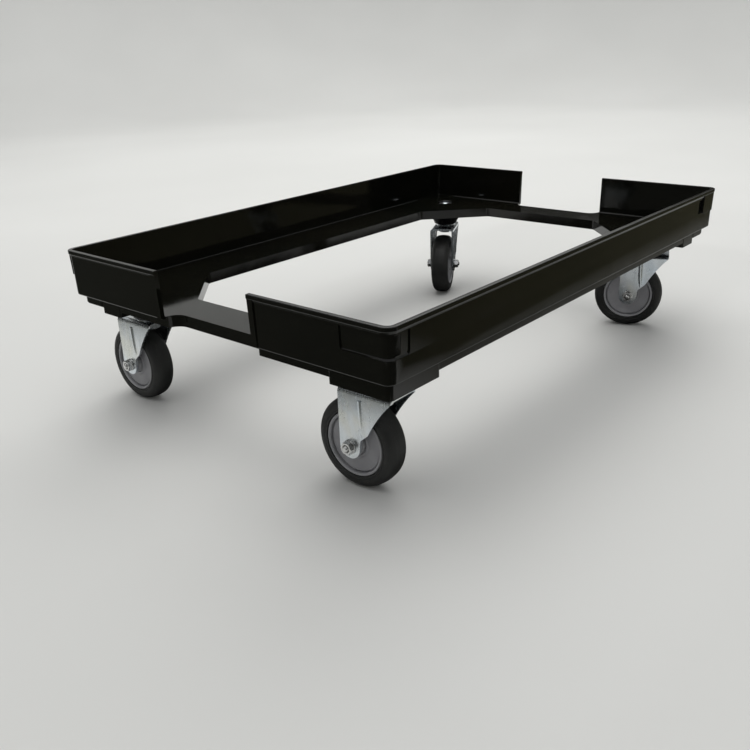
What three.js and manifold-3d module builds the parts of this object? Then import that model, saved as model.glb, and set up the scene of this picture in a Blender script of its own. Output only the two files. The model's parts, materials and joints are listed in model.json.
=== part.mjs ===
// Crate dolly: an open plastic tray with low walls on four swivel casters.
// Millimetres, +Z up, floor at z = 0, long side along X.

import * as THREE from 'three';
import { mergeVertices } from 'three/addons/utils/BufferGeometryUtils.js';
import Module from 'manifold-3d';

const wasm = await Module();
wasm.setup();

// ---------------------------------------------------------------- driving dimensions

const LENGTH = 610;
const WIDTH = 410;
const WALL_HEIGHT = 45;
const WALL_BOTTOM = 120.5;
const WALL_THICKNESS = 2.8;
const CORNER_RADIUS = 10;

const DECK_TOP = 2;
const DECK_UNDER = -1;
const DECK_MIDDLE = 0.8;
const SKIRT_INSET = 9;
const SKIRT_DEPTH = 9;
const SKIRT_THICKNESS = 2.8;
const SKIRT_CORNER = 6;

const GAP_WIDTH = 120;
const GAP_DEPTH = 19;
const GAP_RADIUS = 13;
const BRIDGE_INNER = 57;
const LEDGE_INNER = 62;
const OPENING_CHAMFER = 65;
const OPENING_RADIUS = 7;

const BLOCK_INSET = 8.6;
const PAD_OUTER = 68.5;
const PAD_DEPTH = 14.5;
const SHALLOW_CORNER = 38;
const SHALLOW_DEPTH = 8;
const BLOCK_SLOT = 3;

const SWIVEL_INSET = 51.5;
const TRAIL = 23.5;
const WHEEL_RADIUS = 40;
const TYRE_WIDTH = 23;
const TYRE_INNER = 28.9;
const HUB_RADIUS = 28.6;
const LEG_INSIDE = 13.8;
const SHEET = 2.5;
const CROWN_UNDER = 89;
const GAP = 0.3;

// swivel direction of each caster at rest, in degrees from +X
const CASTERS = [
  { name: 'front', side: [-1, -1], angle: 92 },
  { name: 'left', side: [-1, 1], angle: 90 },
  { name: 'right', side: [1, -1], angle: 112 },
  { name: 'back', side: [1, 1], angle: 207 },
];

// the left wheel trails past the tray, so the tray sits off centre by half of that
const TRAY_Y = -(TRAIL + WHEEL_RADIUS - SWIVEL_INSET) / 2;

// ---------------------------------------------------------------- materials

function material(color, roughness, metalness) {
  return new THREE.MeshStandardMaterial({ color, roughness, metalness });
}

const BLACK_PLASTIC = material(0x161614, 0.22, 0);
const ZINC = material(0xb9c0c4, 0.3, 0.9);
const BRIGHT_STEEL = material(0xc9cbcc, 0.25, 0.95);
const BLACK_STEEL = material(0x1d1d1f, 0.5, 0.8);
const GREY_TYRE = material(0x2c2d2a, 0.65, 0);
const GREY_HUB = material(0x8f9094, 0.45, 0);
const COVER_GREY = material(0x83848a, 0.4, 0);

// ---------------------------------------------------------------- solids

function toSolid(geometry) {
  const bare = geometry.clone();
  bare.deleteAttribute('normal');
  bare.deleteAttribute('uv');
  const merged = mergeVertices(bare, 1e-4);
  const index = merged.index.array;
  const kept = [];
  for (let i = 0; i < index.length; i += 3) {
    const [a, b, c] = [index[i], index[i + 1], index[i + 2]];
    if (a !== b && b !== c && c !== a) {
      kept.push(a, b, c);
    }
  }
  return new wasm.Manifold(new wasm.Mesh({
    numProp: 3,
    vertProperties: new Float32Array(merged.attributes.position.array),
    triVerts: new Uint32Array(kept),
  }));
}

function toMesh(name, solid, look) {
  const { vertProperties, triVerts } = solid.getMesh();
  const geometry = new THREE.BufferGeometry();
  geometry.setAttribute('position', new THREE.BufferAttribute(new Float32Array(vertProperties), 3));
  geometry.setIndex(new THREE.BufferAttribute(new Uint32Array(triVerts), 1));
  geometry.computeVertexNormals();
  const mesh = new THREE.Mesh(geometry, look);
  mesh.name = name;
  return mesh;
}

function polygon(points) {
  return new THREE.Shape(points.map(([x, y]) => new THREE.Vector2(x, y)));
}

// polygon whose corners are rounded, each point being [x, y, radius]
function roundedPolygon(points) {
  const shape = new THREE.Shape();
  points.forEach(([x, y, radius], i) => {
    const corner = new THREE.Vector2(x, y);
    const before = new THREE.Vector2(...points.at(i - 1));
    const after = new THREE.Vector2(...points[(i + 1) % points.length]);
    const towardsBefore = before.sub(corner).normalize();
    const towardsAfter = after.sub(corner).normalize();
    const halfAngle = towardsBefore.angleTo(towardsAfter) / 2;
    const reach = radius / Math.tan(halfAngle);
    const start = corner.clone().addScaledVector(towardsBefore, reach);
    const end = corner.clone().addScaledVector(towardsAfter, reach);
    if (i === 0) {
      shape.moveTo(start.x, start.y);
    } else {
      shape.lineTo(start.x, start.y);
    }
    shape.quadraticCurveTo(corner.x, corner.y, end.x, end.y);
  });
  shape.closePath();
  return shape;
}

function extrude(shape, depth, curveSegments = 4) {
  return new THREE.ExtrudeGeometry(shape, { depth, bevelEnabled: false, curveSegments });
}

// prisms of an outline: in the XY plane along Z, in the YZ plane along X, in the XZ plane along Y
function prismZ(shape, z0, z1, curveSegments) {
  return toSolid(extrude(shape, z1 - z0, curveSegments).translate(0, 0, z0));
}

function prismX(shape, x0, x1, curveSegments) {
  const geometry = extrude(shape, x1 - x0, curveSegments);
  const turn = new THREE.Matrix4().makeBasis(
    new THREE.Vector3(0, 1, 0),
    new THREE.Vector3(0, 0, 1),
    new THREE.Vector3(1, 0, 0),
  );
  return toSolid(geometry.applyMatrix4(turn).translate(x0, 0, 0));
}

function prismY(shape, y0, y1, curveSegments) {
  const geometry = extrude(shape, y1 - y0, curveSegments);
  const turn = new THREE.Matrix4().makeBasis(
    new THREE.Vector3(1, 0, 0),
    new THREE.Vector3(0, 0, 1),
    new THREE.Vector3(0, -1, 0),
  );
  return toSolid(geometry.applyMatrix4(turn).translate(0, y1, 0));
}

function box([x0, y0, z0], [x1, y1, z1]) {
  const geometry = new THREE.BoxGeometry(x1 - x0, y1 - y0, z1 - z0);
  return toSolid(geometry.translate((x0 + x1) / 2, (y0 + y1) / 2, (z0 + z1) / 2));
}

// solid of revolution about Y; the profile of [radius, y] runs counter-clockwise
function turnedY(profile, segments) {
  const points = profile.map(([radius, y]) => new THREE.Vector2(radius, y));
  return toSolid(new THREE.LatheGeometry(points, segments));
}

// solid of revolution about Z; the profile of [radius, z] runs counter-clockwise
function turnedZ(profile, segments) {
  const points = profile.map(([radius, z]) => new THREE.Vector2(radius, z));
  return toSolid(new THREE.LatheGeometry(points, segments).rotateX(Math.PI / 2));
}

function tube(inner, outer, low, high) {
  return [[inner, low], [outer, low], [outer, high], [inner, high], [inner, low]];
}

function rod(radius, low, high) {
  return [[0, low], [radius, low], [radius, high], [0, high]];
}

function unite(solids) {
  return solids.reduce((all, solid) => all.add(solid));
}

function mirrorX(solid) {
  return solid.mirror([1, 0, 0]);
}

function mirrorY(solid) {
  return solid.mirror([0, 1, 0]);
}

function onFourCorners(solid) {
  const pair = solid.add(mirrorX(solid));
  return pair.add(mirrorY(pair));
}

function onBothEnds(solid) {
  return solid.add(mirrorX(solid));
}

// the +X +Y corner and the one opposite it
function onRecessedCorners(solid) {
  return solid.add(solid.rotate([0, 0, 180]));
}

// the other two corners, from a solid drawn for the +X +Y corner
function onRaisedCorners(solid) {
  return onRecessedCorners(mirrorY(solid));
}

// ---------------------------------------------------------------- tray

// rounded rectangle, grown outwards by offset from the rim's outer edge
function trayRing(offset, z, radius = CORNER_RADIUS + offset, cornerSteps = 4) {
  const centreX = LENGTH / 2 + offset - radius;
  const centreY = WIDTH / 2 + offset - radius;
  const ring = [];
  [[1, 1], [-1, 1], [-1, -1], [1, -1]].forEach(([sideX, sideY], quarter) => {
    for (let step = 0; step <= cornerSteps; step += 1) {
      const angle = (quarter + step / cornerSteps) * Math.PI / 2;
      ring.push([
        sideX * centreX + radius * Math.cos(angle),
        sideY * centreY + radius * Math.sin(angle),
        z,
      ]);
    }
  });
  return ring;
}

// closed solid through convex rings, listed from the bottom up
function loft(rings) {
  const count = rings[0].length;
  const index = [];
  for (let i = 0; i < rings.length - 1; i += 1) {
    for (let j = 0; j < count; j += 1) {
      const a = i * count + j;
      const b = i * count + (j + 1) % count;
      index.push(a, b, b + count, a, b + count, a + count);
    }
  }
  const top = (rings.length - 1) * count;
  for (let j = 1; j < count - 1; j += 1) {
    index.push(0, j + 1, j, top, top + j, top + j + 1);
  }
  const geometry = new THREE.BufferGeometry();
  geometry.setAttribute('position', new THREE.Float32BufferAttribute(rings.flat(2), 3));
  geometry.setIndex(index);
  return toSolid(geometry);
}

// outside of the wall: a filleted foot, a slight outward lean, a fine step and the rim bead
const WALL_PROFILE = [
  [-4.4, 0],
  [-3.3, 0.6],
  [-3, 2],
  [-1.9, 39.4],
  [-1.1, 39.8],
  [0, 41.4],
  [0, 44.2],
  [-0.8, WALL_HEIGHT],
];
const WALL_INSIDE = [
  [-3 - WALL_THICKNESS, DECK_TOP],
  [-1.8 - WALL_THICKNESS, WALL_HEIGHT + 1],
];

function trayShell() {
  const outside = loft(WALL_PROFILE.map(([offset, z]) => trayRing(offset, z)));
  const inside = loft(WALL_INSIDE.map(([offset, z]) => trayRing(offset, z)));
  return outside.subtract(inside);
}

function openingShape(grow) {
  const x = LENGTH / 2 - BRIDGE_INNER + grow;
  const y = WIDTH / 2 - LEDGE_INNER + grow;
  const cut = OPENING_CHAMFER + grow * 0.6;
  const corners = [];
  [[1, 1], [-1, 1], [-1, -1], [1, -1]].forEach(([sideX, sideY]) => {
    const pair = [
      [sideX * x, sideY * (y - cut), OPENING_RADIUS],
      [sideX * (x - cut), sideY * y, OPENING_RADIUS],
    ];
    corners.push(...(sideX * sideY > 0 ? pair : pair.reverse()));
  });
  return roundedPolygon(corners);
}

// recess in plan at the +X end, grown by the skirt's thickness for the skirt's own outline
function gapShape(grow) {
  const inner = LENGTH / 2 - GAP_DEPTH - grow;
  const outer = LENGTH / 2 + 20;
  const y = GAP_WIDTH / 2 + grow;
  const radius = GAP_RADIUS + grow;
  const shape = new THREE.Shape();
  shape.moveTo(outer, -y);
  shape.lineTo(outer, y);
  shape.lineTo(inner + radius, y);
  shape.absarc(inner + radius, y - radius, radius, Math.PI / 2, Math.PI, false);
  shape.lineTo(inner, radius - y);
  shape.absarc(inner + radius, radius - y, radius, Math.PI, 1.5 * Math.PI, false);
  shape.closePath();
  return shape;
}

function skirts() {
  const slab = loft([-SKIRT_DEPTH, DECK_MIDDLE].map((z) => trayRing(-SKIRT_INSET, z, SKIRT_CORNER)));
  const hollowInset = SKIRT_INSET + SKIRT_THICKNESS;
  const hollow = loft([-SKIRT_DEPTH - 1, DECK_UNDER].map((z) => trayRing(-hollowInset, z, 3)));
  const outerSkirt = slab.subtract(hollow);
  const openingSkirt = prismZ(openingShape(SKIRT_THICKNESS), -SKIRT_DEPTH, DECK_MIDDLE);
  const gapSkirt = onBothEnds(prismZ(gapShape(SKIRT_THICKNESS), -SKIRT_DEPTH, DECK_MIDDLE));
  return outerSkirt.add(openingSkirt).add(gapSkirt.intersect(slab));
}

// block under the corner that carries the caster, for the +X +Y corner
function cornerBlock() {
  const edgeX = LENGTH / 2;
  const edgeY = WIDTH / 2;
  const square = roundedPolygon([
    [edgeX - BLOCK_INSET, edgeY - BLOCK_INSET, 5],
    [edgeX - PAD_OUTER, edgeY - BLOCK_INSET, 1.5],
    [edgeX - PAD_OUTER, edgeY - PAD_OUTER, 6],
    [edgeX - BLOCK_INSET, edgeY - PAD_OUTER, 1.5],
  ]);
  return prismZ(square, -PAD_DEPTH, DECK_MIDDLE, 3);
}

// the same block with a shallow outer corner, parted from the rest by a slot in each face
function notchedCornerBlock() {
  const edgeX = LENGTH / 2;
  const edgeY = WIDTH / 2;
  const cornerX = edgeX - SHALLOW_CORNER;
  const cornerY = edgeY - SHALLOW_CORNER;
  const slotDepth = 7;
  const lift = box([cornerX, cornerY, -PAD_DEPTH - 1], [edgeX, edgeY, -SHALLOW_DEPTH]);
  const slotX = box(
    [cornerX - BLOCK_SLOT, edgeY - SKIRT_INSET - slotDepth, -PAD_DEPTH - 1],
    [cornerX, edgeY, DECK_UNDER],
  );
  const slotY = box(
    [edgeX - SKIRT_INSET - slotDepth, cornerY - BLOCK_SLOT, -PAD_DEPTH - 1],
    [edgeX, cornerY, DECK_UNDER],
  );
  return cornerBlock().subtract(unite([lift, slotX, slotY]));
}

// below the rim: a shallow recess wraps two opposite corners, a raised panel sits on the long face
// at the other two
const PANEL_LOW = 20;
const RECESS = { shortSide: 49, longSide: 25, high: 39.2 };
const RAISED_PANEL = { wrap: 4, longSide: 37, high: 60 };

// window from a length along the edge to beyond the corner, with a rounded lower corner
function panelWindow(edge, length, high) {
  return roundedPolygon([
    [edge - length, high, 1],
    [edge - length, PANEL_LOW, 4],
    [edge + 9, PANEL_LOW, 1],
    [edge + 9, high, 1],
  ]);
}

function cornerRecess() {
  const edgeX = LENGTH / 2;
  const edgeY = WIDTH / 2;
  const core = loft([[-3.5, PANEL_LOW - 1], [-2.9, 42]].map(([offset, z]) => trayRing(offset, z)));
  const shortSide = panelWindow(edgeY, RECESS.shortSide, RECESS.high);
  const longSide = panelWindow(edgeX, RECESS.longSide, RECESS.high);
  return prismX(shortSide, edgeX - 11, edgeX + 1, 3)
    .add(prismY(longSide, edgeY - 11, edgeY + 1, 3))
    .subtract(core);
}

function raisedPanel() {
  const edgeY = WIDTH / 2;
  const skin = loft([[-1.2, PANEL_LOW], [-0.5, 41]].map(([offset, z]) => trayRing(offset, z)))
    .subtract(loft([[-4, PANEL_LOW - 1], [-3, 42]].map(([offset, z]) => trayRing(offset, z))));
  const window = panelWindow(LENGTH / 2, RAISED_PANEL.longSide, RAISED_PANEL.high);
  return skin.intersect(prismY(window, edgeY - RAISED_PANEL.wrap, edgeY + 1, 3));
}

// upright slots in the long faces, placed by their distance from the corner
const FACE_SLOT = { low: 21.5, high: 38 };
const RECESS_SLOT = { from: 9, to: 16, floor: 4 };
const PANEL_SLOT = { from: 38, to: 49, floor: 3.9 };

function faceSlot({ from, to, floor }) {
  const edgeX = LENGTH / 2;
  const edgeY = WIDTH / 2;
  return box(
    [edgeX - to, edgeY - floor, FACE_SLOT.low],
    [edgeX - from, edgeY + 5, FACE_SLOT.high],
  );
}

// upright bead at each wall end beside the gap, for the +X +Y corner
function wallEndBead() {
  const outer = LENGTH / 2;
  const profile = polygon([
    [outer - 4.2, 1],
    [outer - 1.9, 1],
    [outer - 0.6, 40],
    [outer - 0.4, WALL_HEIGHT - 0.5],
    [outer - 4.2, WALL_HEIGHT - 0.5],
  ]);
  return prismY(profile, GAP_WIDTH / 2, GAP_WIDTH / 2 + 6);
}

const NUT_ACROSS_FLATS = 17;
const NUT_RECESS_RADIUS = 11.5;
const NUT_RECESS_FLOOR = -6.6;
const BOLT_HOLE_RADIUS = 5.3;

function casterHole() {
  const recess = turnedZ(rod(NUT_RECESS_RADIUS, NUT_RECESS_FLOOR, DECK_TOP + 1), 16);
  const hole = turnedZ(rod(BOLT_HOLE_RADIUS, -PAD_DEPTH - 1, NUT_RECESS_FLOOR + 1), 12);
  return recess.add(hole).translate(LENGTH / 2 - SWIVEL_INSET, WIDTH / 2 - SWIVEL_INSET, 0);
}

function tray() {
  const body = trayShell()
    .subtract(onRecessedCorners(cornerRecess().add(faceSlot(RECESS_SLOT))))
    .add(onRaisedCorners(raisedPanel()))
    .subtract(onRaisedCorners(faceSlot(PANEL_SLOT)))
    .add(skirts())
    .add(onRecessedCorners(cornerBlock()))
    .add(onRaisedCorners(notchedCornerBlock()));
  const opening = prismZ(openingShape(0), -SKIRT_DEPTH - 1, DECK_TOP + 1);
  const gap = prismZ(gapShape(0), -SKIRT_DEPTH - 1, WALL_HEIGHT + 1);
  return body
    .subtract(opening)
    .subtract(onBothEnds(gap))
    .add(onFourCorners(wallEndBead()))
    .subtract(onFourCorners(casterHole()));
}

// ---------------------------------------------------------------- caster head, fixed to the tray

// heights above the floor
const PAD_FACE = WALL_BOTTOM - PAD_DEPTH;
const NUT_SEAT = WALL_BOTTOM + NUT_RECESS_FLOOR + GAP;
const CROWN_TOP = CROWN_UNDER + SHEET;
const RACE_TOP = CROWN_TOP + 3;
const PIN_RADIUS = 8;
const PIN_FLANGE_THICKNESS = 2.4;
const BOLT_RADIUS = 5;
const BOLT_HEAD_HEIGHT = 4.8;

function hexPrism(acrossFlats, z0, z1) {
  const radius = acrossFlats / Math.sqrt(3);
  return turnedZ(rod(radius, z0, z1), 6);
}

function headCup() {
  const under = RACE_TOP + 4.8;
  return turnedZ([
    [PIN_RADIUS + GAP, under],
    [13.6, under],
    [13.6, RACE_TOP - 0.6],
    [15.6, RACE_TOP - 0.6],
    [21.2, PAD_FACE - GAP],
    [PIN_RADIUS + GAP, PAD_FACE - GAP],
    [PIN_RADIUS + GAP, under],
  ], 20);
}

function ballRing() {
  const low = RACE_TOP + GAP;
  const high = RACE_TOP + 4.8 - GAP;
  return turnedZ([
    [9.2, low],
    [11.6, low],
    [12.6, (low + high) / 2],
    [11.6, high],
    [9.2, high],
    [9.2, low],
  ], 12);
}

function kingpin() {
  const flangeTop = CROWN_UNDER - GAP;
  const flangeUnder = flangeTop - PIN_FLANGE_THICKNESS;
  return turnedZ([
    [BOLT_HOLE_RADIUS, flangeUnder],
    [12, flangeUnder],
    [12, flangeTop],
    [PIN_RADIUS, flangeTop],
    [PIN_RADIUS, PAD_FACE - GAP],
    [BOLT_HOLE_RADIUS, PAD_FACE - GAP],
    [BOLT_HOLE_RADIUS, flangeUnder],
  ], 16);
}

function kingBolt() {
  const headTop = CROWN_UNDER - GAP - PIN_FLANGE_THICKNESS - GAP;
  const head = hexPrism(NUT_ACROSS_FLATS, headTop - BOLT_HEAD_HEIGHT, headTop);
  const end = WALL_BOTTOM + DECK_TOP - 0.2;
  const shank = turnedZ([
    [0, headTop - 1],
    [BOLT_RADIUS, headTop - 1],
    [BOLT_RADIUS, end - 1],
    [BOLT_RADIUS - 1, end],
    [0, end],
  ], 12);
  return head.add(shank);
}

function deckNut() {
  const top = WALL_BOTTOM + DECK_TOP - 1.2;
  const hole = turnedZ(rod(BOLT_HOLE_RADIUS, NUT_SEAT - 1, top + 1), 12);
  return hexPrism(NUT_ACROSS_FLATS, NUT_SEAT, top).subtract(hole);
}

// ---------------------------------------------------------------- fork and axle

const LEG_OUTSIDE = LEG_INSIDE + SHEET;
const LEG_HALF_WIDTH = 10.3;
const CROWN_LEAD = 20;
const BEND_RADIUS = 4;

const AXLE_RADIUS = 3;
const AXLE_NUT_ACROSS_FLATS = 10;
const AXLE_NUT_HEIGHT = 5.2;

// side outline of the fork in x (trailing) and z
function forkOutline() {
  const axle = WHEEL_RADIUS;
  const rear = TRAIL + LEG_HALF_WIDTH;
  const front = TRAIL - LEG_HALF_WIDTH;
  const shape = new THREE.Shape();
  shape.moveTo(rear, CROWN_TOP + 5);
  shape.lineTo(-CROWN_LEAD, CROWN_TOP + 5);
  shape.lineTo(-CROWN_LEAD, CROWN_UNDER - 1);
  shape.quadraticCurveTo(-CROWN_LEAD + 14, CROWN_UNDER - 15, front - 9, axle + 15);
  shape.lineTo(front - 1, axle + 8);
  shape.lineTo(front, axle);
  shape.absarc(TRAIL, axle, LEG_HALF_WIDTH, Math.PI, 2 * Math.PI, false);
  shape.closePath();
  return shape;
}

// folded section of the fork in y and z: crown with a leg down each side
function foldedSection() {
  const low = WHEEL_RADIUS - LEG_HALF_WIDTH - 1;
  const outer = roundedPolygon([
    [LEG_OUTSIDE, low, 0.1],
    [LEG_OUTSIDE, CROWN_TOP, BEND_RADIUS],
    [-LEG_OUTSIDE, CROWN_TOP, BEND_RADIUS],
    [-LEG_OUTSIDE, low, 0.1],
  ]);
  const inner = roundedPolygon([
    [LEG_INSIDE, low - 1, 0.1],
    [LEG_INSIDE, CROWN_UNDER, BEND_RADIUS - SHEET],
    [-LEG_INSIDE, CROWN_UNDER, BEND_RADIUS - SHEET],
    [-LEG_INSIDE, low - 1, 0.1],
  ]);
  const from = -CROWN_LEAD - 2;
  const to = TRAIL + LEG_HALF_WIDTH + 2;
  return prismX(outer, from, to, 3).subtract(prismX(inner, from - 1, to + 1, 3));
}

function fork() {
  const outline = prismY(forkOutline(), -LEG_OUTSIDE - 2, LEG_OUTSIDE + 2, 6);
  const race = turnedZ([
    [0, CROWN_TOP - 1],
    [13.2, CROWN_TOP - 1],
    [13.2, CROWN_TOP + 1],
    [12.2, RACE_TOP],
    [0, RACE_TOP],
  ], 16);
  const pinHole = turnedZ(rod(PIN_RADIUS + GAP, CROWN_UNDER - 1, RACE_TOP + 1), 16);
  const axleHole = turnedY(rod(AXLE_RADIUS + GAP, -LEG_OUTSIDE - 1, LEG_OUTSIDE + 1), 12)
    .translate(TRAIL, 0, WHEEL_RADIUS);
  return foldedSection().intersect(outline).add(race).subtract(pinHole).subtract(axleHole);
}

// pieces below are about the wheel's own centre, with the axle along Y
function hexY(acrossFlats, y0, y1) {
  const radius = acrossFlats / Math.sqrt(3);
  return turnedY(rod(radius, y0, y1), 6);
}

function axleBolt() {
  const headTop = LEG_OUTSIDE + GAP + AXLE_NUT_HEIGHT;
  const head = hexY(AXLE_NUT_ACROSS_FLATS, -headTop, -LEG_OUTSIDE - GAP);
  const end = headTop + 1.6;
  const shank = turnedY([
    [0, -LEG_OUTSIDE - 1],
    [AXLE_RADIUS, -LEG_OUTSIDE - 1],
    [AXLE_RADIUS, end - 0.8],
    [AXLE_RADIUS - 0.8, end],
    [0, end],
  ], 12);
  return head.add(shank);
}

function axleNut() {
  const from = LEG_OUTSIDE + GAP;
  const hole = turnedY(rod(AXLE_RADIUS + GAP, from - 1, from + AXLE_NUT_HEIGHT + 1), 12);
  return hexY(AXLE_NUT_ACROSS_FLATS, from, from + AXLE_NUT_HEIGHT).subtract(hole);
}

const SLEEVE_RADIUS = 5.5;

function axleSleeve() {
  const half = LEG_INSIDE - GAP;
  return turnedY(tube(AXLE_RADIUS + GAP, SLEEVE_RADIUS, -half, half), 12);
}

// ---------------------------------------------------------------- wheel

const HUB_BOSS_RADIUS = 10;
const RIM_RING_INNER = 26;
const HUB_WEB = 6.5;
const COVER_RADIUS = 25.4;
const COVER_THICKNESS = 1.6;

function tyre() {
  const half = TYRE_WIDTH / 2;
  return turnedY([
    [TYRE_INNER, -half],
    [34.6, -half],
    [38.4, -half + 2.8],
    [WHEEL_RADIUS, -half + 7.5],
    [WHEEL_RADIUS, half - 7.5],
    [38.4, half - 2.8],
    [34.6, half],
    [TYRE_INNER, half],
    [TYRE_INNER, -half],
  ], 36);
}

function hub() {
  const ring = TYRE_WIDTH / 2 - 0.5;
  const boss = LEG_INSIDE - 0.8;
  const bore = SLEEVE_RADIUS + GAP;
  return turnedY([
    [bore, -boss],
    [HUB_BOSS_RADIUS, -boss],
    [HUB_BOSS_RADIUS, -HUB_WEB],
    [RIM_RING_INNER, -HUB_WEB],
    [RIM_RING_INNER, -ring],
    [HUB_RADIUS, -ring],
    [HUB_RADIUS, ring],
    [RIM_RING_INNER, ring],
    [RIM_RING_INNER, HUB_WEB],
    [HUB_BOSS_RADIUS, HUB_WEB],
    [HUB_BOSS_RADIUS, boss],
    [bore, boss],
    [bore, -boss],
  ], 20);
}

function cover(side) {
  const low = HUB_WEB + GAP;
  const disc = turnedY(tube(HUB_BOSS_RADIUS + GAP, COVER_RADIUS, low, low + COVER_THICKNESS), 20);
  return side > 0 ? disc : mirrorY(disc);
}

// ---------------------------------------------------------------- assembly

const dolly = new THREE.Group();

const trayGroup = new THREE.Group();
trayGroup.position.set(0, TRAY_Y, 0);
dolly.add(trayGroup);

const trayMesh = toMesh('tray', tray(), BLACK_PLASTIC);
trayMesh.position.z = WALL_BOTTOM;
trayGroup.add(trayMesh);

const headPieces = {
  head_cup: [headCup(), BLACK_STEEL],
  ball_ring: [ballRing(), BRIGHT_STEEL],
  kingpin: [kingpin(), ZINC],
  king_bolt: [kingBolt(), ZINC],
  deck_nut: [deckNut(), BLACK_STEEL],
};
const forkPieces = {
  fork: [fork(), ZINC],
};
const wheelPieces = {
  axle_bolt: [axleBolt(), BRIGHT_STEEL],
  axle_nut: [axleNut(), BRIGHT_STEEL],
  axle_sleeve: [axleSleeve(), BRIGHT_STEEL],
  tyre: [tyre(), GREY_TYRE],
  hub: [hub(), GREY_HUB],
  hub_cover_outer: [cover(1), COVER_GREY],
  hub_cover_inner: [cover(-1), COVER_GREY],
};

function addPieces(group, pieces, casterName) {
  for (const [piece, [solid, look]] of Object.entries(pieces)) {
    group.add(toMesh(`${casterName}_${piece}`, solid, look));
  }
}

for (const { name, side, angle } of CASTERS) {
  const head = new THREE.Group();
  head.position.set(
    side[0] * (LENGTH / 2 - SWIVEL_INSET),
    side[1] * (WIDTH / 2 - SWIVEL_INSET),
    0,
  );
  addPieces(head, headPieces, name);
  trayGroup.add(head);

  const swivel = new THREE.Group();
  swivel.rotation.z = THREE.MathUtils.degToRad(angle);
  addPieces(swivel, forkPieces, name);
  head.add(swivel);

  const wheel = new THREE.Group();
  wheel.position.set(TRAIL, 0, WHEEL_RADIUS);
  addPieces(wheel, wheelPieces, name);
  swivel.add(wheel);
}

export default dolly;
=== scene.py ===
"""Crate dolly: the looks of an open black tray on four swivel casters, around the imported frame."""

import json
import math

import bmesh
import bpy
from mathutils import Matrix, Vector


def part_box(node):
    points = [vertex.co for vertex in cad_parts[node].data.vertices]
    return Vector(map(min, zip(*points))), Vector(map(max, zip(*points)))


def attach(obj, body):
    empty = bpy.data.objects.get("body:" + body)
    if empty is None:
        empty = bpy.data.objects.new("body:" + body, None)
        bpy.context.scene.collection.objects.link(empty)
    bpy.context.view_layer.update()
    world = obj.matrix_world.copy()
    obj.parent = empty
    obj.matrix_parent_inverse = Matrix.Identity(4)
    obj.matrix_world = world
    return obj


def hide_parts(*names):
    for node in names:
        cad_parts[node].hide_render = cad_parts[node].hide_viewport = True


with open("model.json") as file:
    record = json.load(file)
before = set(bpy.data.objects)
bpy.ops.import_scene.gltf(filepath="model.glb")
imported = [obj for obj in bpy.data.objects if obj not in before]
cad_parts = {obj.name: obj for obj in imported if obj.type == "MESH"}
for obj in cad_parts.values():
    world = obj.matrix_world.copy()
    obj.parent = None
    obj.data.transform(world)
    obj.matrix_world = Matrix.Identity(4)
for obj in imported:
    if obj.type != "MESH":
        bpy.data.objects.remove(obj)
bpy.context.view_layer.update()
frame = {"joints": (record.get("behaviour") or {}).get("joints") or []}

# ------------------------------------------------------------------ driving dimensions, millimetres

MM = 0.001
TRAY_LOW, TRAY_HIGH = (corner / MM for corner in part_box("tray"))
LENGTH = TRAY_HIGH.x - TRAY_LOW.x
WIDTH = TRAY_HIGH.y - TRAY_LOW.y
TRAY_CENTRE_Y = (TRAY_HIGH.y + TRAY_LOW.y) / 2
WALL_HEIGHT = 45
WALL_BOTTOM = TRAY_HIGH.z - WALL_HEIGHT
PAD_DEPTH = WALL_BOTTOM - TRAY_LOW.z
WALL_THICKNESS = 2.8
CORNER_RADIUS = 10

DECK_TOP = 2
DECK_UNDER = -1
DECK_MIDDLE = 0.8
SKIRT_INSET = 9
SKIRT_DEPTH = 9
SKIRT_THICKNESS = 2.8

GAP_WIDTH = 120
GAP_DEPTH = 19
GAP_RADIUS = 13
BRIDGE_INNER = 57
LEDGE_INNER = 62
OPENING_CHAMFER = 65
OPENING_RADIUS = 7

BLOCK_INSET = 8.6
PAD_OUTER = 68.5
SHALLOW_CORNER = 38
SHALLOW_DEPTH = 8
BLOCK_SLOT = 3
SWIVEL_INSET = 51.5

WHEEL_RADIUS = 40
TYRE_WIDTH = 23
TYRE_INNER = 28.9
HUB_RADIUS = 28.6
TRAIL = 23.5
LEG_INSIDE = 13.8
SHEET = 2.5
LEG_OUTSIDE = LEG_INSIDE + SHEET
CROWN_UNDER = 89
CROWN_TOP = CROWN_UNDER + SHEET
RACE_TOP = CROWN_TOP + 3
PAD_FACE = WALL_BOTTOM - PAD_DEPTH
GAP = 0.3

CASTERS = ("front", "left", "right", "back")
JOINTS = {joint["name"]: joint for joint in frame["joints"]}

# ------------------------------------------------------------------ mesh tools


def new_object(name, bm):
    """Object from a closed bmesh, normals out."""
    bmesh.ops.recalc_face_normals(bm, faces=bm.faces)
    mesh = bpy.data.meshes.new(name)
    bm.to_mesh(mesh)
    bm.free()
    obj = bpy.data.objects.new(name, mesh)
    bpy.context.scene.collection.objects.link(obj)
    return obj


def loft(name, rings):
    """Closed solid through rings of equal length, listed from the bottom up."""
    bm = bmesh.new()
    loops = [[bm.verts.new(point) for point in ring] for ring in rings]
    count = len(loops[0])
    for low, high in zip(loops, loops[1:]):
        for j in range(count):
            k = (j + 1) % count
            bm.faces.new((low[j], low[k], high[k], high[j]))
    bm.faces.new(loops[0])
    bm.faces.new(loops[-1])
    return new_object(name, bm)


def prism(name, outline, low, high, plane="XY"):
    """Outline extruded across its plane: XY along Z, YZ along X, XZ along Y."""
    lift = {
        "XY": lambda a, b, t: (a, b, t),
        "YZ": lambda a, b, t: (t, a, b),
        "XZ": lambda a, b, t: (a, t, b),
    }[plane]
    return loft(name, [[lift(a, b, t) for a, b in outline] for t in (low, high)])


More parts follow.
